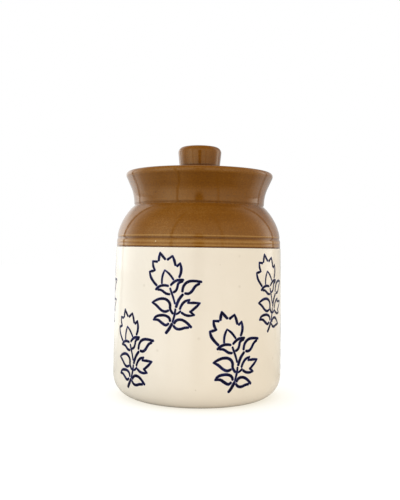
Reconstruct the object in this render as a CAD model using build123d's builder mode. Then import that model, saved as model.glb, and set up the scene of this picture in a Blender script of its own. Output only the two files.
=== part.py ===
# Stoneware storage jar: a cup with a foot ring, a shoulder and neck ring luted onto it, and an
# inset lid with a knob. Millimetres, +Z up, origin under the middle of the foot. Every piece is
# turned about the Z axis, so each profile is drawn in the XZ plane, radius across and height up.
from build123d import *
from math import cos, radians, sin
import os

# Cup
jar_diameter = 150.0
body_height = 132.0
wall_thickness = 6.0
wall_bulge = 0.45
body_taper = 1.4
foot_corner_radius = 20.0
foot_ring_width = 8.0
foot_recess_depth = 2.0
floor_thickness = 7.0
inner_corner_radius = 14.0
foot_edge_rounding = 0.6

# Shoulder
collar_setback = 0.5
collar_height = 6.4
groove_width = 2.8
groove_depth = 0.8
shoulder_setback = 0.5
shoulder_rise = 28.0
shoulder_bulge = 3.0

# Neck and lip
neck_diameter = 116.7
neck_wall = 7.2
waist_height = 1.4
flare_radius = 37.0
flare_angle = 24.3
flare_length = 8.9
lip_radius = 3.6
throat_drop = 2.4
throat_rounding = 4.0

# Seat for the lid, inside the neck
seat_depth = 11.0
gallery_draft = 0.9
seat_edge_rounding = 1.0

# Lid
lid_clearance = 0.8
lid_thickness = 6.5
lid_crown = 8.9
lid_edge_rounding = 1.6
flange_clearance = 1.2
flange_height = 9.0
flange_wall = 5.0
flange_edge_rounding = 1.2

# Knob
knob_diameter = 39.8
knob_root_diameter = 36.4
knob_height = 19.7
knob_crown = 1.8
knob_edge_rounding = 5.0
knob_foot_flare = 1.6
knob_foot_edge = 1.0
knob_land_margin = 1.0

# Places worked out from the sizes above
jar_radius = jar_diameter / 2
foot_radius = jar_radius - foot_corner_radius
recess_radius = foot_radius - foot_ring_width
floor_top = foot_recess_depth + floor_thickness
seam_radius = jar_radius - body_taper
seam_inner_radius = seam_radius - wall_thickness

collar_radius = seam_radius - collar_setback
collar_top = body_height + collar_height
groove_top = collar_top + groove_width
shoulder_radius = collar_radius - shoulder_setback
neck_radius = neck_diameter / 2
neck_base = groove_top + shoulder_rise
throat_radius = neck_radius - neck_wall
throat_base = neck_base - throat_drop

flare_turn = radians(flare_angle)
flare_top_radius = neck_radius + flare_radius * (1 - cos(flare_turn)) + flare_length * sin(flare_turn)
flare_top = neck_base + waist_height + flare_radius * sin(flare_turn) + flare_length * cos(flare_turn)
lip_centre_radius = flare_top_radius - lip_radius * cos(flare_turn)
rim_height = flare_top + lip_radius * (1 + sin(flare_turn))

seat_height = rim_height - seat_depth
seat_radius = lip_centre_radius - lip_radius - gallery_draft
lid_radius = seat_radius - lid_clearance
flange_radius = throat_radius - flange_clearance
flange_inner_radius = flange_radius - flange_wall
flange_bottom = seat_height - flange_height
lid_edge_top = seat_height + lid_thickness
lid_land_height = lid_edge_top + lid_crown
knob_radius = knob_diameter / 2
knob_root_radius = knob_root_diameter / 2
knob_foot_radius = knob_root_radius + knob_foot_flare
lid_land_radius = knob_foot_radius + knob_land_margin
knob_top = lid_land_height + knob_height

os.makedirs("parts", exist_ok=True)


def round_corner(profile, corner, radius):
    """Round the corner of a sketched profile that lies at the given point."""
    fillet(profile.vertices().sort_by_distance(corner)[0], radius)


# Cup: foot ring, rounded foot corner, slightly barrelled wall and flat top edge
with BuildPart() as jar_body:
    with BuildSketch(Plane.XZ) as cup_profile:
        with BuildLine():
            foot = Polyline(
                (0, foot_recess_depth), (recess_radius, foot_recess_depth), (recess_radius, 0), (foot_radius, 0)
            )
            foot_corner = JernArc(foot @ 1, (1, 0), foot_corner_radius, 90)
            outer_wall = SagittaArc(foot_corner @ 1, (seam_radius, body_height), -wall_bulge)
            top_edge = Line(outer_wall @ 1, (seam_inner_radius, body_height))
            inner_wall = SagittaArc(
                top_edge @ 1, (jar_radius - wall_thickness, floor_top + inner_corner_radius), wall_bulge
            )
            inner_corner = JernArc(inner_wall @ 1, (0, -1), inner_corner_radius, -90)
            Polyline(inner_corner @ 1, (0, floor_top), (0, foot_recess_depth))
        make_face()
        round_corner(cup_profile, (recess_radius, 0), foot_edge_rounding)
        round_corner(cup_profile, (recess_radius, foot_recess_depth), foot_edge_rounding)
    revolve(axis=Axis.Z)
jar_body.part.label = "jar_body"
export_step(jar_body.part, "parts/jar_body.step")


# Shoulder and neck: collar, groove, shoulder, flared neck, rolled lip, lid seat and throat
with BuildPart() as shoulder_neck:
    with BuildSketch(Plane.XZ) as neck_profile:
        with BuildLine():
            collar = Line((collar_radius, body_height), (collar_radius, collar_top))
            groove = SagittaArc(collar @ 1, (shoulder_radius, groove_top), groove_depth)
            shoulder = SagittaArc(groove @ 1, (neck_radius, neck_base), -shoulder_bulge)
            waist = Line(shoulder @ 1, (neck_radius, neck_base + waist_height))
            flare = JernArc(waist @ 1, (0, 1), flare_radius, -flare_angle)
            flare_side = Line(flare @ 1, (flare_top_radius, flare_top))
            lip_outside = JernArc(flare_side @ 1, flare_side % 1, lip_radius, 90 + flare_angle)
            lip_inside = JernArc(lip_outside @ 1, (-1, 0), lip_radius, 90)
            gallery = Line(lip_inside @ 1, (seat_radius, seat_height))
            seat = Line(gallery @ 1, (throat_radius, seat_height))
            throat = Line(seat @ 1, (throat_radius, throat_base))
            inner_shoulder = SagittaArc(
                throat @ 1, (shoulder_radius - wall_thickness, groove_top), shoulder_bulge
            )
            Polyline(inner_shoulder @ 1, (seam_inner_radius, body_height), collar @ 0)
        make_face()
        round_corner(neck_profile, (throat_radius, throat_base), throat_rounding)
        round_corner(neck_profile, (throat_radius, seat_height), seat_edge_rounding)
    revolve(axis=Axis.Z)
shoulder_neck.part.label = "shoulder_neck"
export_step(shoulder_neck.part, "parts/shoulder_neck.step")


# Lid: crowned disc that rests on the seat, with a locating flange that drops into the throat
with BuildPart() as lid:
    with BuildSketch(Plane.XZ) as lid_profile:
        with BuildLine():
            land = Line((0, lid_land_height), (lid_land_radius, lid_land_height))
            crown = TangentArc(land @ 1, (lid_radius, lid_edge_top), tangent=(1, 0))
            edge = Polyline(
                crown @ 1, (lid_radius, seat_height), (flange_radius, seat_height),
                (flange_radius, flange_bottom), (flange_inner_radius, flange_bottom),
                (flange_inner_radius, seat_height)
            )
            ceiling = TangentArc((0, seat_height + lid_crown), edge @ 1, tangent=(1, 0))
            Line(ceiling @ 0, land @ 0)
        make_face()
        for height in (seat_height, lid_edge_top):
            round_corner(lid_profile, (lid_radius, height), lid_edge_rounding)
        for radius in (flange_radius, flange_inner_radius):
            round_corner(lid_profile, (radius, flange_bottom), flange_edge_rounding)
        round_corner(lid_profile, (flange_inner_radius, seat_height), flange_edge_rounding)
    revolve(axis=Axis.Z)
lid.part.label = "lid"
export_step(lid.part, "parts/lid.step")


# Knob: tapered stub that widens upwards, with a spread foot on the lid's land and a low crown
with BuildPart() as lid_knob:
    with BuildSketch(Plane.XZ) as knob_profile:
        with BuildLine():
            foot_side = Polyline(
                (0, lid_land_height), (knob_foot_radius, lid_land_height),
                (knob_foot_radius, lid_land_height + knob_foot_edge)
            )
            foot_flare = JernArc(foot_side @ 1, (-1, 0), knob_foot_flare, -90)
            side = Line(foot_flare @ 1, (knob_radius, knob_top - knob_crown))
            top = TangentArc((0, knob_top), side @ 1, tangent=(1, 0))
            Line(top @ 0, foot_side @ 0)
        make_face()
        round_corner(knob_profile, (knob_radius, knob_top - knob_crown), knob_edge_rounding)
    revolve(axis=Axis.Z)
lid_knob.part.label = "lid_knob"
export_step(lid_knob.part, "parts/lid_knob.step")
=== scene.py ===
# %% [markdown]
# # A stoneware storage jar with a lid
# A potter throws this jar in four pieces: a tall cup, a ring that makes the shoulder and the flared neck, a
# lid, and the knob on it. The CAD model holds those four solids in metres, with Z up along the turning axis
# and the camera on the -Y side. Here each of them gets what the kiln gives it: glazes that run thin over
# edges and thick into grooves, bare clay where the pot stood or was wiped, and blue sprigs on the cream. On
# the brown, the thin and thick places also carry painted highlights and painted shade.

# %% Load the CAD frame
import math

import bmesh
import bpy
from mathutils import Matrix, Vector, noise
from mathutils.bvhtree import BVHTree


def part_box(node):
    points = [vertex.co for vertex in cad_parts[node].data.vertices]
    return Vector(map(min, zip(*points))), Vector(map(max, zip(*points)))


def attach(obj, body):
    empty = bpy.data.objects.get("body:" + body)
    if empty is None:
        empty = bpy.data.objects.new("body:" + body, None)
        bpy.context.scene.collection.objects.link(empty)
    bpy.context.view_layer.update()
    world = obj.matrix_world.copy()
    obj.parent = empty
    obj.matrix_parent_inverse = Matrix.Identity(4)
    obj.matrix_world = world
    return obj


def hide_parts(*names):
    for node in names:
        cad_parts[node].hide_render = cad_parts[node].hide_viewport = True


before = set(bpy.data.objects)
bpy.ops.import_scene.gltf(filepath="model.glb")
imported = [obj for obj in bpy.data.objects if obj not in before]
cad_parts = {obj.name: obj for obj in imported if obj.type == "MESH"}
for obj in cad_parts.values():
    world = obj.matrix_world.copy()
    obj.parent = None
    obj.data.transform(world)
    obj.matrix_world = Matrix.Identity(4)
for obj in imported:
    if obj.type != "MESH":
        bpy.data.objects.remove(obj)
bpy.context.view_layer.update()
scene = bpy.context.scene
scene.view_settings.view_transform = "Standard"
MM = 0.001

# %% [markdown]
# ## The camera
# The jar is seen from just below its shoulder, almost level, with the camera rolled by a little less than
# one degree. A camera can be pointed with a tracking constraint, but a product of three plain turns is
# easier to read: tip it up from looking at the floor, turn it sideways, and roll it about its own line of
# sight.

# %% Camera
LENS = 50.0
CAMERA_PLACE = Vector((0, -0.6265, 0.1318))
TURN_RIGHT = math.radians(0.124)
TIP_DOWN = math.radians(0.175)
ROLL = math.radians(0.80)

camera_data = bpy.data.cameras.new("photo_camera")
camera_data.lens = LENS
camera = bpy.data.objects.new("photo_camera", camera_data)
scene.collection.objects.link(camera)
scene.camera = camera
tipped_up = Matrix.Rotation(math.radians(90) - TIP_DOWN, 4, "X")
sideways = Matrix.Rotation(-TURN_RIGHT, 4, "Z")
rolled = Matrix.Rotation(ROLL, 4, "Z")
camera.matrix_world = Matrix.Translation(CAMERA_PLACE) @ sideways @ tipped_up @ rolled
print("camera", LENS, "mm lens at", CAMERA_PLACE[:])

# %% [markdown]
# ## Helpers for nodes
# Every finish and the studio round the jar are node trees. Nodes can be added one statement at a time, which
# gets long, so one helper adds a node, sets its options, and fills each socket with a plain value or a link.
# The others each give the result of one common node.

# %% Node helpers
def add_node(tree, kind, sockets=None, **options):
    """Add a node, set its options, and fill its sockets with plain values or links."""
    node = tree.nodes.new(kind)
    for name, value in options.items():
        setattr(node, name, value)
    for name, value in (sockets or {}).items():
        if isinstance(value, bpy.types.NodeSocket):
            tree.links.new(value, node.inputs[name])
        else:
            node.inputs[name].default_value = value
    return node


def math_node(tree, operation, first, second):
    """Give the result of one sum on two values or sockets."""
    return add_node(tree, "ShaderNodeMath", {0: first, 1: second}, operation=operation).outputs[0]


def map_range(tree, value, start, end, low=0.0, high=1.0):
    """Carry a value from the range start to end over to the range low to high, and hold it there."""
    return add_node(tree, "ShaderNodeMapRange", {0: value, 1: start, 2: end, 3: low, 4: high}).outputs[0]


def mix_value(tree, factor, first, second):
    """Give the blend of two values by a factor."""
    return add_node(tree, "ShaderNodeMix", {0: factor, 2: first, 3: second}).outputs[0]


def mix_colour(tree, factor, first, second):
    """Give the blend of two colours by a factor."""
    return add_node(tree, "ShaderNodeMix", {0: factor, 6: first, 7: second}, data_type="RGBA").outputs[2]


print("node helpers ready")

# %% [markdown]
# ### Ramps and lengths
# A Color Ramp is the plainest way to say how something changes along a line: a few stops, each with a place
# and a colour. What the ramps read here is often a distance, which Vector Math gives.

# %% Ramp and vector helpers
def grey(level):
    """An opaque grey of one level."""
    return (level, level, level, 1)


def ramp_node(tree, factor, stops):
    """Give the colour of a Color Ramp whose stops are (place, colour)."""
    node = add_node(tree, "ShaderNodeValToRGB", {"Fac": factor})
    elements = node.color_ramp.elements
    for element, (place, colour) in zip(list(elements), (stops[0], stops[-1])):
        element.position = place
        element.color = colour
    for place, colour in stops[1:-1]:
        elements.new(place).color = colour
    return node.outputs["Color"]


def vector_length(tree, vector):
    """Give the length of a vector."""
    return add_node(tree, "ShaderNodeVectorMath", {0: vector}, operation="LENGTH").outputs["Value"]


def distance_to(tree, place, point):
    """Give the distance from a place to a fixed point."""
    node = add_node(tree, "ShaderNodeVectorMath", {0: place, 1: point}, operation="DISTANCE")
    return node.outputs["Value"]


def scale_and_shift(tree, vector, scale, shift):
    """Give a vector times a scale along each axis, plus a shift."""
    sockets = {0: vector, 1: scale, 2: shift}
    return add_node(tree, "ShaderNodeVectorMath", sockets, operation="MULTIPLY_ADD").outputs[0]


print("ramp and vector helpers ready")

# %% [markdown]
# ## The studio round the jar
# The jar stands in a white photographer's sweep, and its glossy brown glaze mirrors what is round it as
# upright bands, so the studio matters to the look. Light panels could be meshes with emission. A world that
# knows the compass angle and the height of each ray does the same with a few ramp stops and no extra noise.
# Compass angles are in degrees, from -180 behind the jar over 0 at the camera to 180, with the right
# positive.

# %% World and its rays
def compass_of(tree, way):
    """Give the compass place of a direction split into X, Y and Z: 0 and 1 behind the jar, 0.5 in front."""
    towards_camera = math_node(tree, "MULTIPLY", way.outputs["Y"], -1.0)
    angle = math_node(tree, "ARCTAN2", way.outputs["X"], towards_camera)
    return map_range(tree, angle, -math.pi, math.pi)


world = bpy.data.worlds.new("white_studio")
scene.world = world
world.use_nodes = True
sky = world.node_tree
sky.nodes.clear()
ray_direction = add_node(sky, "ShaderNodeTexCoord").outputs["Generated"]
ray = add_node(sky, "ShaderNodeSeparateXYZ", {0: ray_direction})
compass_place = compass_of(sky, ray)
height_place = map_range(sky, ray.outputs["Z"], -1.0, 1.0)
print("made", world.name)

# %% [markdown]
# ### Panels by compass
# Softboxes stand in front, the left one brighter than the right one. A bright panel stands behind the jar at
# each side, and there is less light straight from the sides and from the middle of the background. Where two
# panels meet there is a dark gap, which the glaze shows as a thin upright line. The panels' levels are
# divided by a peak to keep them under 1 in the ramp, and multiplied by it later.

# %% Panels and the gaps between them
PANEL_PEAK = 2.4
PANELS = [
    (-180, 0.80), (-166, 1.05), (-155, 1.40), (-147, 1.70), (-140, 2.00), (-132, 1.95), (-124, 1.50),
    (-112, 1.08), (-95, 0.65), (-85, 0.78), (-73, 1.27), (-54, 1.76), (-36, 1.68), (-19, 1.42), (0, 1.28),
    (14, 1.18), (30, 1.28), (48, 1.14), (66, 0.92), (87, 0.82), (100, 1.00), (115, 1.60), (124, 1.45),
    (133, 1.00), (140, 0.85), (152, 0.80), (166, 0.70), (180, 0.70),
]
PANEL_GAPS = [(-127.5, 2.2, 0.25), (-38.0, 1.4, 0.32), (33.0, 1.4, 0.45), (126.5, 2.0, 0.25)]
GAP_SOFTNESS = 1.2


def compass_stops(levels, peak=1.0):
    """Ramp stops for (compass angle, level), with each level divided by the peak."""
    return [(angle / 360 + 0.5, grey(level / peak)) for angle, level in levels]


def gap_levels(gaps):
    """Levels by compass angle that are full, but for a dark gap at each (angle, half width, level)."""
    levels = [(-180, 1.0)]
    for angle, half_width, level in gaps:
        outer = half_width + GAP_SOFTNESS
        levels += [(angle - outer, 1.0), (angle - half_width, level)]
        levels += [(angle + half_width, level), (angle + outer, 1.0)]
    return levels + [(180, 1.0)]


panels = ramp_node(sky, compass_place, compass_stops(PANELS, PANEL_PEAK))
gaps = ramp_node(sky, compass_place, compass_stops(gap_levels(PANEL_GAPS)))
print("studio with", len(PANELS), "compass stops and", len(PANEL_GAPS), "gaps")

# %% [markdown]
# ### How high the light reaches
# In front of the jar the light reaches up higher than behind it, where it ends above a bright band. Near the
# ground there is more of it at both sides and at the left in front, so a second set of levels is added
# there, which fades out upwards. Heights run from -1 straight down to 1 straight up.

# %% Light by height
FRONT_HEIGHTS = [
    (-1.0, 0.08), (-0.72, 0.11), (-0.50, 0.27), (-0.30, 0.80), (-0.10, 1.0),
    (0.31, 1.0), (0.50, 0.80), (0.64, 0.66), (0.80, 0.32), (1.0, 0.11),
]
BACK_HEIGHTS = [(-1.0, 0.45), (0.0, 0.82), (0.10, 0.96), (0.28, 1.0), (0.42, 0.40), (1.0, 0.15)]
FRONT_UNTIL, BACK_FROM = 0.5, 0.9
LOW_PANELS = [
    (-180, 0.0), (-142, 0.0), (-134, 0.55), (-124, 0.95), (-112, 0.90), (-105, 0.70), (-95, 0.45),
    (-85, 0.15), (-74, 0.10), (-56, 0.30), (-34, 0.28), (-18, 0.08), (-6, 0.0), (92, 0.0), (101, 0.40),
    (108, 0.80), (118, 0.80), (124, 0.45), (132, 0.0), (180, 0.0),
]
LOW_HEIGHTS = [(-1.0, 1.0), (0.06, 1.0), (0.30, 0.45), (0.50, 0.0), (1.0, 0.0)]


def light_by_height(levels):
    """Give the level of light at a ray's height, from a list of (height, level)."""
    return ramp_node(sky, height_place, [(height / 2 + 0.5, grey(level)) for height, level in levels])


front_share = map_range(sky, ray.outputs["Y"], BACK_FROM, FRONT_UNTIL)
heights = mix_value(sky, front_share, light_by_height(BACK_HEIGHTS), light_by_height(FRONT_HEIGHTS))
low_panels = ramp_node(sky, compass_place, compass_stops(LOW_PANELS, PANEL_PEAK))
low_light = math_node(sky, "MULTIPLY", low_panels, light_by_height(LOW_HEIGHTS))
panel_light = math_node(sky, "ADD", math_node(sky, "MULTIPLY", panels, heights), low_light)
print("light at", len(FRONT_HEIGHTS), "heights in front and", len(BACK_HEIGHTS), "behind")

# %% [markdown]
# ### The dark place of the camera
# The camera on its stand is a tall dark place straight in front of the jar. It is made from the distance of
# each ray to that direction, squashed in height. The panels are a faintly warm white, but to the camera the
# background is plain white, and the Light Path node tells the camera's own rays from the rest.

# %% Camera spot and background
SPOT_SQUASH = 0.42
SPOT_FROM, SPOT_TO = 0.08, 0.19
SPOT_LEVEL = 0.06
PANEL_WHITE = (0.99, 0.99, 0.975, 1)

off_camera = scale_and_shift(sky, ray_direction, (1, 1, SPOT_SQUASH), (0, 1, 0))
spot_distance = vector_length(sky, off_camera)
spot = map_range(sky, spot_distance, SPOT_FROM, SPOT_TO, PANEL_PEAK * SPOT_LEVEL, PANEL_PEAK)
lit = math_node(sky, "MULTIPLY", math_node(sky, "MULTIPLY", panel_light, gaps), spot)
seen = add_node(sky, "ShaderNodeLightPath").outputs["Is Camera Ray"]
strength = mix_value(sky, seen, lit, 1.0)
sky_colour = mix_colour(sky, seen, PANEL_WHITE, grey(1.0))
background = add_node(sky, "ShaderNodeBackground", {"Color": sky_colour, "Strength": strength})
add_node(sky, "ShaderNodeOutputWorld", {"Surface": background.outputs[0]})
print("background white, camera spot at", SPOT_LEVEL, "of the panels")

# %% [markdown]
# ## Soft lamps
# One wide softbox hangs over the jar, a second one stands in front, high up on the right, and a third one at
# the left. They even out the light on the cream: a little warmer from the right and cooler from the left. A
# glossy glaze would mirror them as hard white squares, which a photographer avoids with flags and a
# polarising filter, so here they are left out of glossy rays.

# %% Softboxes
JAR_MIDDLE = Vector((0, 0, 0.11))
WARM = (1.0, 0.90, 0.64)
COOL = (0.94, 0.98, 1.0)
BLUISH = (0.64, 0.85, 1.0)


def hang_softbox(name, place, side, watts, tint):
    """Hang a square soft lamp that looks at the jar's middle and isn't mirrored in it."""
    data = bpy.data.lights.new(name, "AREA")
    data.shape = "SQUARE"
    data.size = side
    data.energy = watts
    data.color = tint
    lamp = bpy.data.objects.new(name, data)
    lamp.location = place
    lamp.rotation_euler = (JAR_MIDDLE - lamp.location).to_track_quat("-Z", "Y").to_euler()
    lamp.visible_glossy = False
    scene.collection.objects.link(lamp)
    print(name, watts, "W")


hang_softbox("overhead_softbox", place=(-0.15, 0.20, 1.25), side=1.1, watts=8.0, tint=COOL)
hang_softbox("front_softbox", place=(1.40, -1.10, 0.80), side=1.3, watts=8.9, tint=WARM)
hang_softbox("side_softbox", place=(-1.50, -0.10, 0.45), side=0.9, watts=6.0, tint=BLUISH)

# %% [markdown]
# ## The floor
# The jar stands near the front edge of a table with white paper. One square face is enough, because all the
# rest is in its material, which has two halves: what lights the jar, and what the camera sees.

# %% Floor and its material
FLOOR_HALF = 4.0

floor_bm = bmesh.new()
bmesh.ops.create_grid(floor_bm, x_segments=1, y_segments=1, size=FLOOR_HALF)
floor_mesh = bpy.data.meshes.new("white_floor")
floor_bm.to_mesh(floor_mesh)
floor_bm.free()
floor = bpy.data.objects.new("white_floor", floor_mesh)
scene.collection.objects.link(floor)
paper = bpy.data.materials.new("white_paper")
paper.use_nodes = True
floor_mesh.materials.append(paper)
sheet = paper.node_tree
sheet.nodes.clear()
floor_place = add_node(sheet, "ShaderNodeTexCoord").outputs["Object"]
floor_way = add_node(sheet, "ShaderNodeSeparateXYZ", {0: floor_place})
from_jar = vector_length(sheet, floor_place)
print("floor", 2 * FLOOR_HALF, "m across")

# %% [markdown]
# ### Grey table and white paper
# The jar mirrors the floor and takes light from it. The table is greyer than the paper at the back, whose
# edge lies a little slanted behind the jar, and round the foot there is a paler disc. Each border is a soft
# Map Range over a distance, so no texture has to be painted.

# %% Colour of the floor
TABLE_GREY = (0.47, 0.45, 0.42, 1)
PAPER_WHITE = (0.70, 0.68, 0.64, 1)
DISC_EDGE = (0.16, 0.12)
DISC_SHARE = 0.70
SHEET_EDGE = (0.09, 0.13)
SHEET_SLANT = 0.13

near_disc = map_range(sheet, from_jar, *DISC_EDGE, high=DISC_SHARE)
slanted = math_node(sheet, "MULTIPLY", floor_way.outputs["X"], SHEET_SLANT)
sheet_way = math_node(sheet, "ADD", floor_way.outputs["Y"], slanted)
back_sheet = map_range(sheet, sheet_way, *SHEET_EDGE)
white_share = math_node(sheet, "MAXIMUM", near_disc, back_sheet)
floor_colour = mix_colour(sheet, white_share, TABLE_GREY, PAPER_WHITE)
plain_floor = add_node(sheet, "ShaderNodeBsdfDiffuse", {"Color": floor_colour})
print("paper from y", SHEET_EDGE[1], "m backwards, a paler disc within", DISC_EDGE[1], "m")

# %% [markdown]
# ### The glow on the paper
# Further off, the paper glows with the light on the background, more at the left than at the right, with
# dark gaps in line with those between the panels. A faint glow lies near the foot too, but not at the left.
# In front of the table's edge there is no floor, so that the flared neck mirrors the softboxes lower down.
# The far ring is divided by its peak, and the levels by compass are multiplied by it.

# %% Glow and front edge
GLOW_REACH = 2.0
GLOW_PEAK = 1.1
GLOW_STOPS = [(0.30, 0.0), (0.60, 0.85), (0.90, 1.0), (1.80, 1.1)]
GLOW_COMPASS = [
    (-180, 0.35), (-165, 0.35), (-152, 0.60), (-140, 0.85), (-130, 0.95), (-120, 0.85), (-110, 0.65),
    (-100, 0.52), (0, 0.45), (98, 0.20), (105, 0.45), (120, 0.52), (132, 0.40), (150, 0.26), (180, 0.30),
]
GLOW_GAPS = [(-126.0, 3.0, 0.10), (125.5, 3.0, 0.08)]
NEAR_GLOW = [(0.060, 0.0), (0.070, 0.16), (0.11, 0.16), (0.16, 0.0)]
NEAR_LEFT, NEAR_RIGHT = -0.07, 0.01
TABLE_EDGE = (-0.20, -0.13)


def reach_stops(levels, peak=1.0):
    """Ramp stops for (distance from the jar's axis, level), with each level divided by the peak."""
    return [(far / GLOW_REACH, grey(level / peak)) for far, level in levels]


reach = math_node(sheet, "DIVIDE", from_jar, GLOW_REACH)
far_ring = ramp_node(sheet, reach, reach_stops(GLOW_STOPS, GLOW_PEAK))
floor_compass = compass_of(sheet, floor_way)
side_level = ramp_node(sheet, floor_compass, compass_stops(GLOW_COMPASS, 1 / GLOW_PEAK))
side_gaps = ramp_node(sheet, floor_compass, compass_stops(gap_levels(GLOW_GAPS)))
far_glow = math_node(sheet, "MULTIPLY", far_ring, math_node(sheet, "MULTIPLY", side_level, side_gaps))
near_ring = ramp_node(sheet, reach, reach_stops(NEAR_GLOW))
near_side = map_range(sheet, floor_way.outputs["X"], NEAR_LEFT, NEAR_RIGHT)
sheet_glow = math_node(sheet, "ADD", far_glow, math_node(sheet, "MULTIPLY", near_ring, near_side))
lit_sheet = add_node(sheet, "ShaderNodeEmission", {"Color": grey(1.0), "Strength": sheet_glow})
lit_floor = add_node(sheet, "ShaderNodeAddShader", {0: plain_floor.outputs[0], 1: lit_sheet.outputs[0]})
no_floor = add_node(sheet, "ShaderNodeBsdfTransparent").outputs[0]
on_table = map_range(sheet, floor_way.outputs["Y"], *TABLE_EDGE)
real_floor = add_node(sheet, "ShaderNodeMixShader", {0: on_table, 1: no_floor, 2: lit_floor.outputs[0]})
print("glow out to", GLOW_REACH, "m, table from y", TABLE_EDGE[1], "m backwards")

# %% [markdown]
# ### What the camera sees of the floor
# To the camera the floor has to be as white as the background, with a soft warm shade where the cream foot
# meets it. For camera rays its material is therefore a white glow that turns warm towards the foot, with a
# little lit white added, which keeps the jar's real shadow. The shade is a ring round the foot, a little
# wider sideways than in depth, and shifted to the right.

# %% White floor with a warm shade
SHADOW_SHARE = 0.16
SHADE_REACH = 0.12
SHADE_DEPTH = 1.10
SHADE_RIGHT = 0.0025
SHADE_STOPS = [
    (0.055, (0.78, 0.71, 0.58, 1)), (0.067, (0.91, 0.87, 0.77, 1)), (0.075, (0.960, 0.935, 0.865, 1)),
    (0.088, (0.985, 0.970, 0.935, 1)), (0.110, (1, 1, 1, 1)),
]

ring_place = scale_and_shift(sheet, floor_place, (1, SHADE_DEPTH, 1), (-SHADE_RIGHT, 0, 0))
shade_reach = math_node(sheet, "DIVIDE", vector_length(sheet, ring_place), SHADE_REACH)
floor_white = ramp_node(sheet, shade_reach, [(far / SHADE_REACH, tint) for far, tint in SHADE_STOPS])
glow = add_node(sheet, "ShaderNodeEmission", {"Color": floor_white, "Strength": 1.0 - SHADOW_SHARE / 2})
shadowed = add_node(sheet, "ShaderNodeBsdfDiffuse", {"Color": grey(SHADOW_SHARE)})
seen_floor = add_node(sheet, "ShaderNodeAddShader", {0: shadowed.outputs[0], 1: glow.outputs[0]})
by_camera = add_node(sheet, "ShaderNodeLightPath").outputs["Is Camera Ray"]
either_floor = {0: by_camera, 1: real_floor.outputs[0], 2: seen_floor.outputs[0]}
choice = add_node(sheet, "ShaderNodeMixShader", either_floor)
add_node(sheet, "ShaderNodeOutputMaterial", {"Surface": choice.outputs[0]})
print("made", paper.name, "with a shade of", len(SHADE_STOPS), "stops")

# %% [markdown]
# ## What all the glazes share
# A fired glaze is never one flat colour. It clouds over a few centimetres, keeps faint level lines from the
# turning wheel and the brush, has a fine mottle, carries a few dark specks of iron from the clay, and its
# skin has a slight ripple. One node group makes these five patterns from Object coordinates, so every glaze
# can mix them in its own strength.

# %% Node group for fired surfaces
RIPPLE_SCALE = 260.0
MOTTLE_SCALE = 850.0
ROUND_SCALE = 9.0
SPECK_SIZE = 0.09
PLAIN_CELLS = 0.86

surface = bpy.data.node_groups.new("fired_surface", "ShaderNodeTree")
for socket_name, start in (("Cloud Scale", 40.0), ("Line Scale", 700.0), ("Speck Scale", 110.0)):
    socket = surface.interface.new_socket(socket_name, in_out="INPUT", socket_type="NodeSocketFloat")
    socket.default_value = start
for socket_name in ("Cloud", "Lines", "Mottle", "Specks", "Ripple"):
    surface.interface.new_socket(socket_name, in_out="OUTPUT", socket_type="NodeSocketFloat")


def noise_pattern(vector, scale, detail):
    """Give the level of a noise inside the group."""
    sockets = {"Vector": vector, "Scale": scale, "Detail": detail}
    return add_node(surface, "ShaderNodeTexNoise", sockets).outputs[0]


scales = add_node(surface, "NodeGroupInput").outputs
place = add_node(surface, "ShaderNodeTexCoord").outputs["Object"]
across = add_node(surface, "ShaderNodeSeparateXYZ", {0: place})
round_x = math_node(surface, "MULTIPLY", across.outputs["X"], ROUND_SCALE)
round_y = math_node(surface, "MULTIPLY", across.outputs["Y"], ROUND_SCALE)
level_height = math_node(surface, "MULTIPLY", across.outputs["Z"], scales["Line Scale"])
line_place = add_node(surface, "ShaderNodeCombineXYZ", {0: round_x, 1: round_y, 2: level_height}).outputs[0]
cells = add_node(surface, "ShaderNodeTexVoronoi", {"Vector": place, "Scale": scales["Speck Scale"]})
in_speck = map_range(surface, cells.outputs["Distance"], SPECK_SIZE, SPECK_SIZE / 2)
cell_draw = add_node(surface, "ShaderNodeSeparateColor", {0: cells.outputs["Color"]}).outputs[0]
specked_cell = math_node(surface, "GREATER_THAN", cell_draw, PLAIN_CELLS)
patterns = {
    "Cloud": noise_pattern(place, scales["Cloud Scale"], detail=3.0),
    "Lines": noise_pattern(line_place, 1.0, detail=2.0),
    "Mottle": noise_pattern(place, MOTTLE_SCALE, detail=2.0),
    "Specks": math_node(surface, "MULTIPLY", in_speck, specked_cell),
    "Ripple": noise_pattern(place, RIPPLE_SCALE, detail=1.0),
}
add_node(surface, "NodeGroupOutput", patterns)
print("fired_surface puts out", list(patterns))

# %% [markdown]
# ## A start for each glaze
# Cream, brown, blue and bare clay differ in colour and gloss, and each begins in the same way: a Principled
# shader, the shared patterns, and a bump from the ripple. The helper sets that up and hands back the tree,
# so that each finish only says what is its own.

# %% Glaze starter
CLOUD_LOW, CLOUD_HIGH = 0.3, 0.7


def start_finish(name, roughness, ior, ripple_height, **scales):
    """Make a material with the shared patterns, a ripple bump and a roughness that clouds a little."""
    material = bpy.data.materials.new(name)
    material.use_nodes = True
    tree = material.node_tree
    shader = tree.nodes["Principled BSDF"]
    shader.inputs["IOR"].default_value = ior
    fired = add_node(tree, "ShaderNodeGroup", node_tree=surface)
    for scale_name, value in scales.items():
        fired.inputs[scale_name.replace("_", " ").title()].default_value = value
    rough = map_range(tree, fired.outputs["Cloud"], CLOUD_LOW, CLOUD_HIGH, *roughness)
    tree.links.new(rough, shader.inputs["Roughness"])
    bump = add_node(tree, "ShaderNodeBump", {"Height": fired.outputs["Ripple"], "Distance": ripple_height})
    tree.links.new(bump.outputs[0], shader.inputs["Normal"])
    print("made", name)
    return material, tree, shader, fired.outputs


print("finish starter ready")

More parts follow.
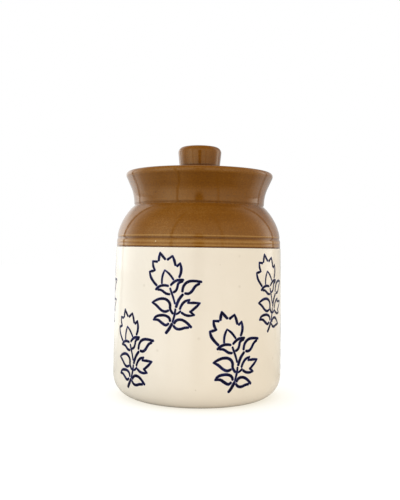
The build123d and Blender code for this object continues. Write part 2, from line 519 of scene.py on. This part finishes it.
# %% [markdown]
# ## Cream glaze
# The cup is dipped in a clear glaze over pale clay. It is warm white, faintly clouded, with a few tiny tan
# specks. A Mix between two close creams by the cloud pattern keeps it from looking like plastic. A few faint
# smudges, about three millimetres across, could be painted on a UV map, but a soft spot needs only the
# distance to one point on the wall, given by compass angle and height in millimetres.

# %% Cream glaze
CREAM = (0.862, 0.775, 0.662, 1)
CREAM_SHADE = (0.815, 0.722, 0.602, 1)
CREAM_SPECK = (0.520, 0.430, 0.310, 1)
FAINT_SPECK = 0.35
SMUDGES = [(-25.4, 48.7), (26.8, 125.5), (0.9, 59.6), (26.9, 101.0), (-36.4, 100.6), (59.0, 39.2)]
SMUDGE_RADIUS = 74.4
SMUDGE_SIZE = 1.7 * MM
SMUDGE_SHARE = 0.34


def outward_at(angle):
    """The level direction away from the jar's axis at a compass angle in radians."""
    return Vector((math.sin(angle), -math.cos(angle), 0))


cream_glaze, tree, shader, fired = start_finish(
    "cream_glaze", roughness=(0.10, 0.16), ior=1.42, ripple_height=0.04 * MM, cloud_scale=34.0
)
clouded = mix_colour(tree, fired["Cloud"], CREAM, CREAM_SHADE)
tan_share = math_node(tree, "MULTIPLY", fired["Specks"], FAINT_SPECK)
object_place = add_node(tree, "ShaderNodeTexCoord").outputs["Object"]
for compass_angle, height in SMUDGES:
    smudge = (outward_at(math.radians(compass_angle)) * SMUDGE_RADIUS + Vector((0, 0, height))) * MM
    away = distance_to(tree, object_place, smudge)
    tan_share = math_node(tree, "ADD", tan_share, map_range(tree, away, SMUDGE_SIZE, 0.0, high=SMUDGE_SHARE))
tree.links.new(mix_colour(tree, tan_share, clouded, CREAM_SPECK), shader.inputs["Base Color"])
print(len(SMUDGES), "faint smudges on", cream_glaze.name)

# %% [markdown]
# ## Brown glaze
# The brown is an iron glaze. Where it lies thin, on the beads of the collar and on the shoulder's lower
# edge, the pale clay shows through as amber, and there the amber is also a painted highlight. Where it runs
# together, in the groove and at the seam, it turns dark, and in the groove and at the knob's foot the dark is
# also painted shade. Each turned piece carries that thickness with its painted highlights and shade as an
# attribute named glaze, from -1 thin to 1 thick. The clouds, lines and mottle make it uneven, and a ramp
# turns it into colour. Iron also warms what the glaze mirrors, which is the Specular Tint. A small pale spot
# of clay colour lies on the collar, in front at the left.

# %% Brown glaze
THIN_BROWN = (0.350, 0.170, 0.040, 1)
MIDDLE_BROWN = (0.195, 0.067, 0.0045, 1)
THICK_BROWN = (0.085, 0.026, 0.005, 1)
WARM_SHEEN = (1.0, 0.82, 0.52, 1)
UNEVEN_GLAZE = {"Cloud": 0.55, "Lines": 0.38, "Mottle": 0.90}
NOISE_MIDDLE = 0.5
DARK_SPECK = 0.5
# A small pale spot of clay colour on the collar, in front at the left.
PALE_SPOT = Vector((-34.9, -64.2, 136.8)) * MM
PALE_SPOT_EDGE = (0.75 * MM, 0.25 * MM)
PALE_SPOT_COLOUR = (0.640, 0.470, 0.250, 1)

brown_glaze, tree, shader, fired = start_finish(
    "brown_glaze", roughness=(0.05, 0.10), ior=1.48, ripple_height=0.03 * MM, line_scale=520.0
)
shader.inputs["Specular Tint"].default_value = WARM_SHEEN
# The glaze attribute holds the glaze thickness together with painted highlights on edges and painted shade in
# the groove and at the knob's foot.
glaze_and_painted_shade = add_node(tree, "ShaderNodeAttribute", attribute_name="glaze").outputs["Fac"]
for pattern, share in UNEVEN_GLAZE.items():
    off_middle = math_node(tree, "SUBTRACT", fired[pattern], NOISE_MIDDLE)
    glaze_and_painted_shade = math_node(tree, "ADD", glaze_and_painted_shade, math_node(tree, "MULTIPLY", off_middle, share))
glaze_and_shade_factor = map_range(tree, glaze_and_painted_shade, -1.0, 1.0)
browns_with_painted_shade = ramp_node(tree, glaze_and_shade_factor, [(0.0, THIN_BROWN), (0.5, MIDDLE_BROWN), (1.0, THICK_BROWN)])
dark_specks = math_node(tree, "MULTIPLY", fired["Specks"], DARK_SPECK)
specked = mix_colour(tree, dark_specks, browns_with_painted_shade, THICK_BROWN)
object_place = add_node(tree, "ShaderNodeTexCoord").outputs["Object"]
on_pale_spot = map_range(tree, distance_to(tree, object_place, PALE_SPOT), *PALE_SPOT_EDGE)
tree.links.new(mix_colour(tree, on_pale_spot, specked, PALE_SPOT_COLOUR), shader.inputs["Base Color"])
print("pale_spot in", brown_glaze.name, "at", PALE_SPOT[:])

# %% [markdown]
# ## Bare clay
# Nothing is glazed where the pot stands in the kiln or where lid and jar touch, or they would fuse. There
# the buff stoneware shows, dry and slightly gritty: the same patterns, but finer, rougher and with a higher
# ripple.

# %% Bare clay
CLAY = (0.560, 0.450, 0.330, 1)
CLAY_SHADE = (0.420, 0.320, 0.220, 1)

bare_clay, tree, shader, fired = start_finish(
    "bare_clay", roughness=(0.75, 0.9), ior=1.4, ripple_height=0.12 * MM, cloud_scale=160.0, speck_scale=420.0
)
grain = mix_colour(tree, fired["Cloud"], CLAY, CLAY_SHADE)
tree.links.new(mix_colour(tree, fired["Specks"], grain, CLAY_SHADE), shader.inputs["Base Color"])
print("grain in", bare_clay.name)

# %% [markdown]
# ## Blue brushwork
# The sprigs are cobalt, brushed on through a stencil and nearly black where the colour lies thick. It bleeds
# a little into the glaze, so each line has pale blue edges. An edge could be a second mesh round each line.
# Here the lines carry it as an attribute named ink, from 0 at the edge to 1 and more on the ridge, and one
# Mix turns that into colour.

# %% Cobalt blue
COBALT = (0.0030, 0.0025, 0.0180, 1)
COBALT_THIN = (0.0110, 0.0130, 0.0650, 1)
COBALT_EDGE = (0.2400, 0.2600, 0.5600, 1)
THIN_FROM, THIN_TO = 0.45, 0.75
FULL_INK = 0.80

cobalt_blue, tree, shader, fired = start_finish(
    "cobalt_blue", roughness=(0.20, 0.30), ior=1.15, ripple_height=0.03 * MM, cloud_scale=150.0
)
thin_spots = map_range(tree, fired["Cloud"], THIN_FROM, THIN_TO)
line_blue = mix_colour(tree, thin_spots, COBALT, COBALT_THIN)
ink = add_node(tree, "ShaderNodeAttribute", attribute_name="ink").outputs["Fac"]
inked = map_range(tree, ink, 0.0, FULL_INK)
tree.links.new(mix_colour(tree, inked, COBALT_EDGE, line_blue), shader.inputs["Base Color"])
print("pale edges in", cobalt_blue.name)

# %% [markdown]
# ## Drawing a profile
# A thrown pot is a profile spun round an axis. The profile is a few corners, each with a radius, a height
# and a rounding in millimetres, and a glaze thickness, which on the brown also carries painted highlights and
# shade. A Bevel modifier could round them all alike. A vertex bevel in bmesh rounds each corner by the arc
# that its own rounding asks for, and then long edges are divided.

# %% Profile helper
ARC_STEP = 6
FEWEST_SEGMENTS = 4
LONGEST_EDGE = 4.0 * MM


def draw_profile(bm, corners, closed):
    """Draw the half section as edges, and round its corners."""
    glaze_and_painted_shade = bm.verts.layers.float.new("glaze")
    points = []
    for radius, height, _, glaze in corners:
        point = bm.verts.new((radius * MM, 0, height * MM))
        point[glaze_and_painted_shade] = glaze
        points.append(point)
    following = points[1:] + points[:1] if closed else points[1:]
    for first, second in zip(points, following):
        bm.edges.new((first, second))
    for point, (_, _, rounding, _) in zip(points, corners):
        if rounding:
            before, after = [edge.other_vert(point).co - point.co for edge in point.link_edges]
            turn = math.pi - before.angle(after)
            segments = max(FEWEST_SEGMENTS, round(math.degrees(turn) / ARC_STEP))
            bmesh.ops.bevel(
                bm, geom=[point], offset=rounding * MM * math.tan(turn / 2), affect="VERTICES",
                segments=segments, profile=0.5, material=-1,
            )
    while long_edges := [edge for edge in bm.edges if edge.calc_length() > LONGEST_EDGE]:
        bmesh.ops.subdivide_edges(bm, edges=long_edges, cuts=1)


print("one segment for each", ARC_STEP, "degrees of a rounding")

# %% [markdown]
# ## Turning a piece on the wheel
# The Screw modifier could turn the profile, and so can bmesh's spin, which leaves a plain mesh to work on:
# one full spin closes the pot. Hand-thrown clay is never perfectly round, so a slow noise moves the wall
# inwards by about a tenth of a millimetre, enough to make reflections sway, and a second one adds the faint
# level lines that fingers leave.

# %% Turning helper
SPIN_STEPS = 288
MERGE_DISTANCE = 0.002 * MM
SHARP_ANGLE = math.radians(35)
SWAY = 0.08 * MM
SWAY_SCALE = Vector((14, 14, 22))
WHEEL_LINE = 0.035 * MM
LINE_SCALE = Vector((5, 5, 230))
NEAR_AXIS = 4.0 * MM


def sway_by_hand(bm):
    """Move the wall a little inwards, by more or less round the pot and in faint level lines."""
    for vert in bm.verts:
        radius = vert.co.xy.length
        if radius > NEAR_AXIS:
            slow = noise.noise(vert.co * SWAY_SCALE)
            line = noise.noise(vert.co * LINE_SCALE)
            vert.co.xy *= 1 - (SWAY * (1 - slow) + WHEEL_LINE * (1 - line)) / radius


def turn_piece(name, corners, finishes, finish_of, closed=False):
    """Spin a profile into a finished piece; finish_of(height, outward) picks the finish of each face."""
    bm = bmesh.new()
    draw_profile(bm, corners, closed)
    bmesh.ops.spin(
        bm, geom=bm.verts[:] + bm.edges[:], cent=(0, 0, 0), axis=(0, 0, 1), angle=math.tau, steps=SPIN_STEPS,
        use_merge=True,
    )
    bmesh.ops.remove_doubles(bm, verts=bm.verts[:], dist=MERGE_DISTANCE)
    bmesh.ops.recalc_face_normals(bm, faces=bm.faces[:])
    sway_by_hand(bm)
    for face in bm.faces:
        middle = face.calc_center_median()
        outward = face.normal.xy.dot(middle.xy.normalized())
        face.material_index = finish_of(middle.z / MM, outward)
        face.smooth = True
    for edge in bm.edges:
        edge.smooth = edge.calc_face_angle(0.0) < SHARP_ANGLE
    mesh = bpy.data.meshes.new(name)
    bm.to_mesh(mesh)
    bm.free()
    for finish in finishes:
        mesh.materials.append(finish)
    piece = bpy.data.objects.new(name, mesh)
    scene.collection.objects.link(piece)
    print(name, len(mesh.polygons), "faces")
    return piece


print("a full turn has", SPIN_STEPS, "steps")

# %% [markdown]
# ## The cup
# The cup stands on a narrow foot ring, curves out of it in a generous round, and rises with almost straight
# sides that swell by about half a millimetre. It could be lofted from circles, but ten corners are what a
# potter would draw, and the turning helper does the rest. The outer size and the height come from the CAD
# node. The ring it stands on is bare clay.

# %% Cream cup
_, cup_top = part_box("jar_body")
cup_radius = cup_top.x / MM
cup_height = cup_top.z / MM
WALL = 6.0
TAPER = 1.4
BULGE = 0.60
BULGE_ROUND = 3200
INNER_BULGE_ROUND = 3000
FOOT_ROUND = 20.0
FOOT_RING = 47.0
RING_ROUND = 0.6
RECESS = 2.0
FLOOR_TOP = 9.0
INNER_ROUND = 14.0
SEAM_ROUND = 0.5
FOOT_BARE = 0.35
seam_radius = cup_radius - TAPER
middle_height = (cup_height + FOOT_ROUND) / 2
middle_radius = cup_radius - TAPER / 2 + BULGE

cream_cup = turn_piece(
    "cream_cup",
    [
        (0, RECESS, 0, 0),
        (FOOT_RING, RECESS, RING_ROUND, 0),
        (FOOT_RING, 0, RING_ROUND, 0),
        (cup_radius, 0, FOOT_ROUND, 0),
        (middle_radius, middle_height, BULGE_ROUND, 0),
        (seam_radius, cup_height, SEAM_ROUND, 0),
        (seam_radius - WALL, cup_height, 0, 0),
        (middle_radius - WALL, middle_height, INNER_BULGE_ROUND, 0),
        (cup_radius - WALL, FLOOR_TOP, INNER_ROUND, 0),
        (0, FLOOR_TOP, 0, 0),
    ],
    [cream_glaze, bare_clay],
    lambda height, outward: int(height < FOOT_BARE),
)
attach(cream_cup, "jar")
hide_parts("jar_body")

# %% [markdown]
# ## The shoulder and neck
# This ring is thrown apart and joined to the cup with slip. From the seam upwards it has a collar with two
# faint beads, a groove, the round shoulder, a crease cut a little into the neck's foot, the flared neck, and
# a rolled lip. Inside the lip a ledge carries the lid. Brown glaze covers the outside and goes over the lip,
# the ledge is wiped bare, and the inside is cream. First come the sizes, and the collar's corners as
# distances out of its radius and up from the seam.

# %% Sizes of the shoulder and neck
_, rim_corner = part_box("shoulder_neck")
rim_height = rim_corner.z / MM
COLLAR_SETBACK = 0.5
# Corners of the collar: out, up, rounding and glaze; the thin glaze on the beads is also a painted highlight.
COLLAR = [
    (0.0, 0.0, 0.3, 0.9),
    (0.02, 0.9, 0, 0.75),
    (0.10, 1.9, 2.5, -0.75),
    (-0.08, 3.4, 3.0, -0.15),
    (0.06, 5.0, 3.0, -0.85),
    (-0.15, 6.6, 1.4, -0.2),
]
GROOVE_DEPTH = 0.25
GROOVE_RISE = 8.0
SHOULDER_RISE = 10.0
SHOULDER_RADIUS = 72.6
SHOULDER_EDGE_ROUND = 2.0
SHOULDER_CORNER = (71.0, 158.0)
SHOULDER_ROUND = 41.5
NECK_RADIUS = 58.35
NECK_BASE = 169.0
CREASE_DEPTH = 0.6
CREASE_HEIGHT = 1.8
CREASE_ROUND = 1.0
CREASE_TOP_ROUND = 1.2
FLARE_CORNER = 178.57
FLARE_ROUND = 31.0
FLARE_ANGLE = math.radians(24.3)
UNDER_LIP = 193.3
LIP_ROUND = 3.6
INNER_LIP_ROUND = 3.3
SEAT_DEPTH = 11.0
SEAT_RADIUS = 57.51
SEAT_ROUND = 0.6
LEDGE_ROUND = 1.0
GALLERY_TOP_RADIUS = 58.85
THROAT_RADIUS = 51.15
THROAT_BASE = 166.8
THROAT_ROUND = 4.0
INNER_CORNER = (64.2, 157.2)
INNER_SHOULDER_ROUND = 37.0
INNER_WAIST_RISE = 9.2
INNER_WAIST_ROUND = 15.0
seat_height = rim_height - SEAT_DEPTH
collar_radius = seam_radius - COLLAR_SETBACK
collar = [(collar_radius + out, cup_height + up, rounding, glaze) for out, up, rounding, glaze in COLLAR]
print("collar", collar_radius, "mm in radius, rim at", rim_height, "mm, ledge at", seat_height, "mm")

# %% [markdown]
# ### The ring itself
# The profile runs up the outside, over the lip and down the inside, and closes on itself at the seam. The
# last number of each corner is the glaze: thick at the seam and in the groove, thin on the beads and on the
# shoulder's lower edge. The dark thick glaze in the groove is also painted shade, and the pale thin glaze on
# the beads and the shoulder's lower edge is also a painted highlight. The way a face points decides its
# finish, so each border follows the shape.

# %% Brown shoulder and neck
LEVEL = 0.05
LEDGE_MARGIN = 0.3


def flare_radius(height):
    """Radius of the straight upper part of the flared neck."""
    return NECK_RADIUS + (height - FLARE_CORNER) * math.tan(FLARE_ANGLE)


def neck_finish(height, outward):
    """Brown (0) outside and over the lip, bare (1) on the level ledge, cream (2) on what faces the inside."""
    if outward > LEVEL or height > seat_height + LEDGE_MARGIN:
        return 0
    return 1 if outward > -LEVEL else 2


brown_neck = turn_piece(
    "brown_shoulder_neck",
    [
        *collar,
        # The groove's thick glaze is also painted shade, and the thin glaze on the shoulder's lower edge a
        # painted highlight.
        (SHOULDER_RADIUS - GROOVE_DEPTH, cup_height + GROOVE_RISE, SHOULDER_EDGE_ROUND, 0.55),
        (SHOULDER_RADIUS, cup_height + SHOULDER_RISE, SHOULDER_EDGE_ROUND, -0.95),
        (*SHOULDER_CORNER, SHOULDER_ROUND, 0.0),
        (NECK_RADIUS - CREASE_DEPTH, NECK_BASE, CREASE_ROUND, 0.3),
        (NECK_RADIUS, NECK_BASE + CREASE_HEIGHT, CREASE_TOP_ROUND, 0.3),
        (NECK_RADIUS, FLARE_CORNER, FLARE_ROUND, 0.15),
        (flare_radius(UNDER_LIP), UNDER_LIP, 0, 0.3),
        (flare_radius(rim_height), rim_height, LIP_ROUND, 0.0),
        (GALLERY_TOP_RADIUS, rim_height, INNER_LIP_ROUND, 0.3),
        (SEAT_RADIUS, seat_height, SEAT_ROUND, 0.5),
        (THROAT_RADIUS, seat_height, LEDGE_ROUND, 0),
        (THROAT_RADIUS, THROAT_BASE, THROAT_ROUND, 0),
        (*INNER_CORNER, INNER_SHOULDER_ROUND, 0),
        (SHOULDER_RADIUS - WALL, cup_height + INNER_WAIST_RISE, INNER_WAIST_ROUND, 0),
        (seam_radius - WALL, cup_height, 0, 0),
    ],
    [brown_glaze, bare_clay, cream_glaze],
    neck_finish,
    closed=True,
)
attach(brown_neck, "jar")
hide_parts("shoulder_neck")

# %% [markdown]
# ## The lid
# The lid is a low dome that drops inside the lip and rests on the ledge. A flange below it keeps it centred.
# Dome and flange could be two meshes, but one profile leaves no seam to close. The top is brown, the rim
# that rests on the ledge and the flange are bare, and the hollow underneath is brown again.

# %% Inset lid
lid_low, lid_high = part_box("lid")
lid_radius = lid_high.x / MM
land_height = lid_high.z / MM
flange_bottom = lid_low.z / MM
FLANGE_INSIDE, FLANGE_OUTSIDE = 44.95, 49.95
FLANGE_ROUND = 1.2
FLANGE_ROOT = 0.6
LID_EDGE = 6.5
LID_ROUND = 1.6
CROWN_CORNER = 39.86
CROWN_ROUND = 70
HOLLOW_CORNER = 23.4
HOLLOW_ROUND = 105
UNDERSIDE = -0.3
edge_top = seat_height + LID_EDGE
crown = land_height - edge_top
bare_flange_top = seat_height - 1.0
bare_rim_top = seat_height + 0.9


def lid_finish(height, outward):
    """Brown (0) above and in the hollow underneath, bare (1) where it rests and on the flange."""
    return int(height < bare_flange_top or (height < bare_rim_top and outward > UNDERSIDE))


inset_lid = turn_piece(
    "inset_lid",
    [
        (0, land_height, 0, 0),
        (CROWN_CORNER, land_height, CROWN_ROUND, 0),
        (lid_radius, edge_top, LID_ROUND, -0.4),
        (lid_radius, seat_height, LID_ROUND, 0.2),
        (FLANGE_OUTSIDE, seat_height, FLANGE_ROOT, 0),
        (FLANGE_OUTSIDE, flange_bottom, FLANGE_ROUND, 0),
        (FLANGE_INSIDE, flange_bottom, FLANGE_ROUND, 0),
        (FLANGE_INSIDE, seat_height, FLANGE_ROUND, 0.3),
        (HOLLOW_CORNER, seat_height + crown, HOLLOW_ROUND, 0),
        (0, seat_height + crown, 0, 0),
    ],
    [brown_glaze, bare_clay],
    lid_finish,
)
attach(inset_lid, "lid")
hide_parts("lid")

# %% [markdown]
# ## The knob
# The knob is a stub that widens upwards, so that finger tips can lift it. A bead of slip spreads its foot on
# the lid, the glaze has pooled dark round that foot, and the top edge is well rounded. That dark pool is also
# painted shade at the knob's root. It could be a bevelled cone, but a profile also says how thick the glaze
# is at each corner.

# %% Turned knob
_, knob_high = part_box("lid_knob")
knob_foot = knob_high.x / MM
knob_top = knob_high.z / MM
KNOB_RADIUS = 19.9
KNOB_CROWN = 1.8
KNOB_ROUND = 5.0
CROWN_TOP_ROUND = 70
ROOT_RADIUS = 18.2
ROOT_ROUND = 1.4
BEAD_HEIGHT = 1.0
BEAD_ROUND = 0.2
POOL_AND_SHADE_TOP = 2.8
POOLED_AND_SHADED = 0.9
bead_top = land_height + BEAD_HEIGHT
edge_height = knob_top - KNOB_CROWN
pool_and_shade_height = land_height + POOL_AND_SHADE_TOP


def knob_side(height):
    """Radius of the knob's straight side."""
    return ROOT_RADIUS + (KNOB_RADIUS - ROOT_RADIUS) * (height - bead_top) / (edge_height - bead_top)


turned_knob = turn_piece(
    "turned_knob",
    [
        (0, land_height, 0, 0),
        # The dark band at the foot is pooled glaze and also painted shade at the knob's root.
        (knob_foot, land_height, 0, POOLED_AND_SHADED),
        (knob_foot, bead_top, BEAD_ROUND, POOLED_AND_SHADED),
        (ROOT_RADIUS, bead_top, ROOT_ROUND, POOLED_AND_SHADED),
        (knob_side(pool_and_shade_height), pool_and_shade_height, 0, 0.28),
        (KNOB_RADIUS, edge_height, KNOB_ROUND, 0.15),
        (KNOB_RADIUS / 2, knob_top, CROWN_TOP_ROUND, 0),
        (0, knob_top, 0, 0),
    ],
    [brown_glaze],
    lambda height, outward: 0,
)
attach(turned_knob, "lid")
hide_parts("lid_knob")

# %% [markdown]
# ## The lines of one flower sprig
# The decoration is a traditional flower sprig: an open flower with a pointed bud in it, a stem, outlined
# leaves, a side bud, and small gaps between the lines where the stencil held together. It is drawn flat
# first, in millimetres from the foot of the stem. Each line is a few points, and a line that turns a sharp
# corner is two lines that meet.

# %% Points of the sprig
PETALS = [
    [(-15.2, 31.7), (-18.5, 35.0), (-21.0, 38.5), (-22.3, 42.7)],
    [(-22.3, 42.7), (-20.0, 43.2), (-17.0, 44.1)],
    [(-17.0, 44.1), (-18.7, 47.0), (-19.4, 51.4)],
    [(-19.4, 51.4), (-15.1, 51.1)],
    [(-13.7, 52.0), (-13.4, 55.0), (-12.6, 58.5)],
    [(-12.6, 58.5), (-10.3, 55.8), (-7.8, 53.2)],
    [(-5.8, 53.0), (-1.5, 56.1)],
    [(-1.5, 56.1), (0.0, 52.5), (1.1, 48.5)],
    [(2.5, 47.8), (5.1, 50.2)],
    [(5.1, 50.2), (6.0, 46.0), (5.7, 42.2), (4.5, 38.9)],
]
BUD = [
    [(-10.4, 33.5), (-10.3, 37.5), (-9.4, 41.3), (-8.0, 44.4)],
    [(-8.0, 44.4), (-4.0, 41.4), (-0.3, 36.8)],
]
SEPALS = [
    [(-15.9, 28.3), (-13.3, 30.6), (-9.0, 32.0), (-4.7, 31.6)],
    [(-14.0, 28.3), (-11.0, 28.1), (-6.4, 25.3), (-3.4, 24.9)],
    [(-2.5, 32.3), (-0.5, 34.4), (3.0, 36.4), (8.0, 36.8)],
    [(7.3, 35.6), (3.9, 33.9), (3.1, 31.0), (2.0, 28.1), (-0.1, 26.5)],
]
STEMS = [
    [(-3.1, 29.8), (-1.5, 25.5), (0.0, 21.5), (1.2, 17.3)],
    [(1.7, 13.0), (1.0, 8.0), (-0.6, 2.2)],
    [(2.4, 8.8), (4.4, 10.0), (6.0, 11.5)],
]
SIDE_STEM = [[(7.7, 25.0), (4.4, 20.6), (2.2, 14.6)]]
TAIL = [[(-1.0, 1.0), (-3.2, -3.0), (-6.0, -6.8)]]
LEAVES = [
    [(7.2, 27.2), (8.2, 31.8), (11.5, 35.2), (16.5, 36.1), (22.6, 35.4)],
    [(9.5, 25.9), (12.3, 25.8), (15.0, 27.8), (17.0, 30.9), (18.7, 32.7), (20.9, 33.9)],
    [(-19.0, 17.5), (-15.0, 19.8), (-10.0, 21.1), (-5.6, 20.2), (-3.0, 17.0), (-2.7, 12.8), (-0.4, 9.2)],
    [(-19.0, 17.5), (-15.3, 15.6), (-10.8, 11.9), (-7.2, 10.6), (-4.2, 11.6)],
    [(-17.5, 3.4), (-15.5, 6.0), (-10.5, 7.5), (-5.8, 7.1), (-3.2, 5.2), (-2.6, 3.0)],
    [(-17.5, 3.4), (-13.5, 3.6), (-9.5, 1.1), (-6.3, -0.4), (-4.0, 0.9)],
    [(0.9, 1.4), (2.6, 3.7), (5.9, 4.6), (10.2, 3.0), (14.8, -1.4)],
    [(0.4, -0.6), (2.3, -2.6), (5.4, -3.2), (9.3, -2.0), (12.6, -1.6)],
]
SIDE_BUD = [
    [(5.4, 13.1), (6.9, 16.5), (9.6, 19.5), (13.2, 20.9)],
    [(13.2, 20.9), (12.0, 18.2)],
    [(12.0, 18.2), (16.5, 18.4), (21.6, 18.2)],
    [(21.6, 18.2), (18.5, 15.0), (15.0, 11.9)],
    [(13.7, 11.4), (17.1, 8.5)],
    [(17.1, 8.5), (13.1, 7.9), (9.5, 8.6), (6.9, 10.2)],
]
LINE_WIDTHS = [
    (PETALS, 2.1), (BUD, 1.75), (SEPALS, 2.0), (STEMS, 1.7),
    (SIDE_STEM, 2.2), (TAIL, 2.4), (LEAVES, 2.1), (SIDE_BUD, 2.0),
]
print("a sprig has", sum(len(lines_of_part) for lines_of_part, _ in LINE_WIDTHS), "lines")

# %% [markdown]
# ### One line
# A line could be a flat ribbon, but the colour lies on the glaze as a low ridge. A Bezier spline through its
# points with a round bevel is a smooth raised line, and the radius at each point makes it a little fuller
# halfway, narrower where two lines meet in a tip, and slightly uneven. Two extra points round off each end.

# %% Line helper
MEETING_END = [(0.6, 0.8), (1.0, 0.08)]
FREE_END = [(0.35, 0.8), (0.75, 0.08)]
UNEVEN = 0.10
UNEVEN_SCALE = 0.21
SWELL = 0.12
SWELL_BASE = 0.6
TIP_WIDTH = 0.80


def end_points(last, before, half_width, rounding):
    """Two points past the end of a line, whose widths round it off."""
    onward = (last - before).normalized() * half_width
    return [(last + onward * reach, half_width * share) for reach, share in rounding]


def swollen(place):
    """Width of a line at a place from 0 to 1 along it: fullest halfway."""
    return 1 + SWELL * (math.sin(math.pi * place) - SWELL_BASE)


def draw_line(curve, points, width, meetings):
    """Add one line of the sprig, fuller halfway, with round ends, shorter where no other line meets it."""
    flat = [Vector((x, y, 0)) for x, y in points]
    half = width / 2
    body = []
    for index, point in enumerate(flat):
        shape = swollen(index / (len(flat) - 1)) if len(flat) > 2 else 1
        if points[index] in meetings:
            shape *= TIP_WIDTH
        body.append((point, half * shape * (1 + UNEVEN * noise.noise(point * UNEVEN_SCALE))))
    first_end, last_end = [MEETING_END if end in meetings else FREE_END for end in (points[0], points[-1])]
    line = end_points(flat[0], flat[1], body[0][1], first_end)[::-1] + body
    line += end_points(flat[-1], flat[-2], body[-1][1], last_end)
    spline = curve.splines.new("BEZIER")
    spline.bezier_points.add(len(line) - 1)
    spline.resolution_u = 3
    for knot, (point, radius) in zip(spline.bezier_points, line):
        knot.co = point
        knot.radius = radius
        knot.handle_left_type = "AUTO"
        knot.handle_right_type = "AUTO"


print("line helper ready")

# %% [markdown]
# ### The flat sprig
# All lines go into one curve. A Curve modifier could bend it, but a mesh has points that can be laid on the
# wall one by one, so the curve is made a mesh while it is still flat. The lower row was put on with more
# colour, so its lines are a little bolder.

# %% Flat sprigs
UPPER_BOLDNESS = 1.17
LOWER_BOLDNESS = 1.25


def draw_sprig(boldness):
    """Draw the whole sprig flat, with every line wider by the same factor, and give its mesh."""
    curve = bpy.data.curves.new("flat_sprig", "CURVE")
    curve.dimensions = "3D"
    curve.twist_mode = "Z_UP"
    curve.bevel_depth = 1.0
    curve.bevel_resolution = 2
    curve.use_fill_caps = True
    for lines_of_part, width in LINE_WIDTHS:
        ends = [point for points in lines_of_part for point in (points[0], points[-1])]
        meetings = {point for point in ends if ends.count(point) > 1}
        for points in lines_of_part:
            draw_line(curve, points, width * boldness, meetings)
    drawing = bpy.data.objects.new("flat_sprig", curve)
    scene.collection.objects.link(drawing)
    mesh = bpy.data.meshes.new_from_object(drawing.evaluated_get(bpy.context.evaluated_depsgraph_get()))
    bpy.data.objects.remove(drawing)
    print("flat sprig of", len(curve.splines), "lines,", len(mesh.polygons), "faces")
    return mesh


upper_sprig = draw_sprig(UPPER_BOLDNESS)
lower_sprig = draw_sprig(LOWER_BOLDNESS)

# %% [markdown]
# ## Ten sprigs round the wall
# Five sprigs stand in an upper row and five in a lower row, set between them as bricks are. They were put on
# by eye, so each has its own small lean and height. A Shrinkwrap modifier could lay the flat drawing on the
# cup, but a ray to the wall for each point keeps the drawing's true size round the curve. Every line is
# pressed nearly flat, half of it in the glaze and half standing about a tenth of a millimetre proud.

# %% Blue sprigs
PROUD = 0.08
SPRIG_STRETCH = 0.985
SPRIG_MERGE = 0.001 * MM
UPPER_ROW = [
    (-15.15, 69.85, 0.0), (56.65, 69.15, -1.6), (128.6, 69.6, 0.6), (200.2, 68.9, -0.5), (271.5, 67.8, 0.8)
]
LOWER_ROW = [
    (24.7, 23.15, 0.0), (96.3, 22.0, -0.7), (168.4, 22.8, 0.5), (240.6, 21.8, -0.4), (-45.85, 21.5, -0.6)
]

cup_bm = bmesh.new()
cup_bm.from_mesh(cream_cup.data)
cup_wall = BVHTree.FromBMesh(cup_bm)
cup_bm.free()


def wrap_row(name, flat_sprig, places):
    """Lay a copy of the flat sprig on the wall at each (compass angle, height of the stem's foot, lean)."""
    bm = bmesh.new()
    ink = bm.verts.layers.float.new("ink")
    for compass_angle, foot_height, lean in places:
        first = len(bm.verts)
        bm.from_mesh(flat_sprig)
        bm.verts.ensure_lookup_table()
        leaning = Matrix.Rotation(math.radians(lean), 4, "Z")
        for vert in bm.verts[first:]:
            vert[ink] = max(vert.co.z, 0)
            flat = leaning @ Vector((vert.co.x, vert.co.y * SPRIG_STRETCH, vert.co.z))
            outward = outward_at(math.radians(compass_angle) + flat.x / cup_radius)
            height = Vector((0, 0, (foot_height + flat.y) * MM))
            wall, _, _, _ = cup_wall.ray_cast(outward * 2 * cup_radius * MM + height, -outward)
            vert.co = wall + outward * flat.z * PROUD * MM
    bmesh.ops.remove_doubles(bm, verts=bm.verts[:], dist=SPRIG_MERGE)
    bmesh.ops.recalc_face_normals(bm, faces=bm.faces[:])
    for face in bm.faces:
        face.smooth = True
    mesh = bpy.data.meshes.new(name)
    bm.to_mesh(mesh)
    bm.free()
    mesh.materials.append(cobalt_blue)
    row = bpy.data.objects.new(name, mesh)
    scene.collection.objects.link(row)
    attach(row, "jar")
    print(name, len(places), "sprigs,", len(mesh.polygons), "faces")


wrap_row("upper_sprigs", upper_sprig, UPPER_ROW)
wrap_row("lower_sprigs", lower_sprig, LOWER_ROW)
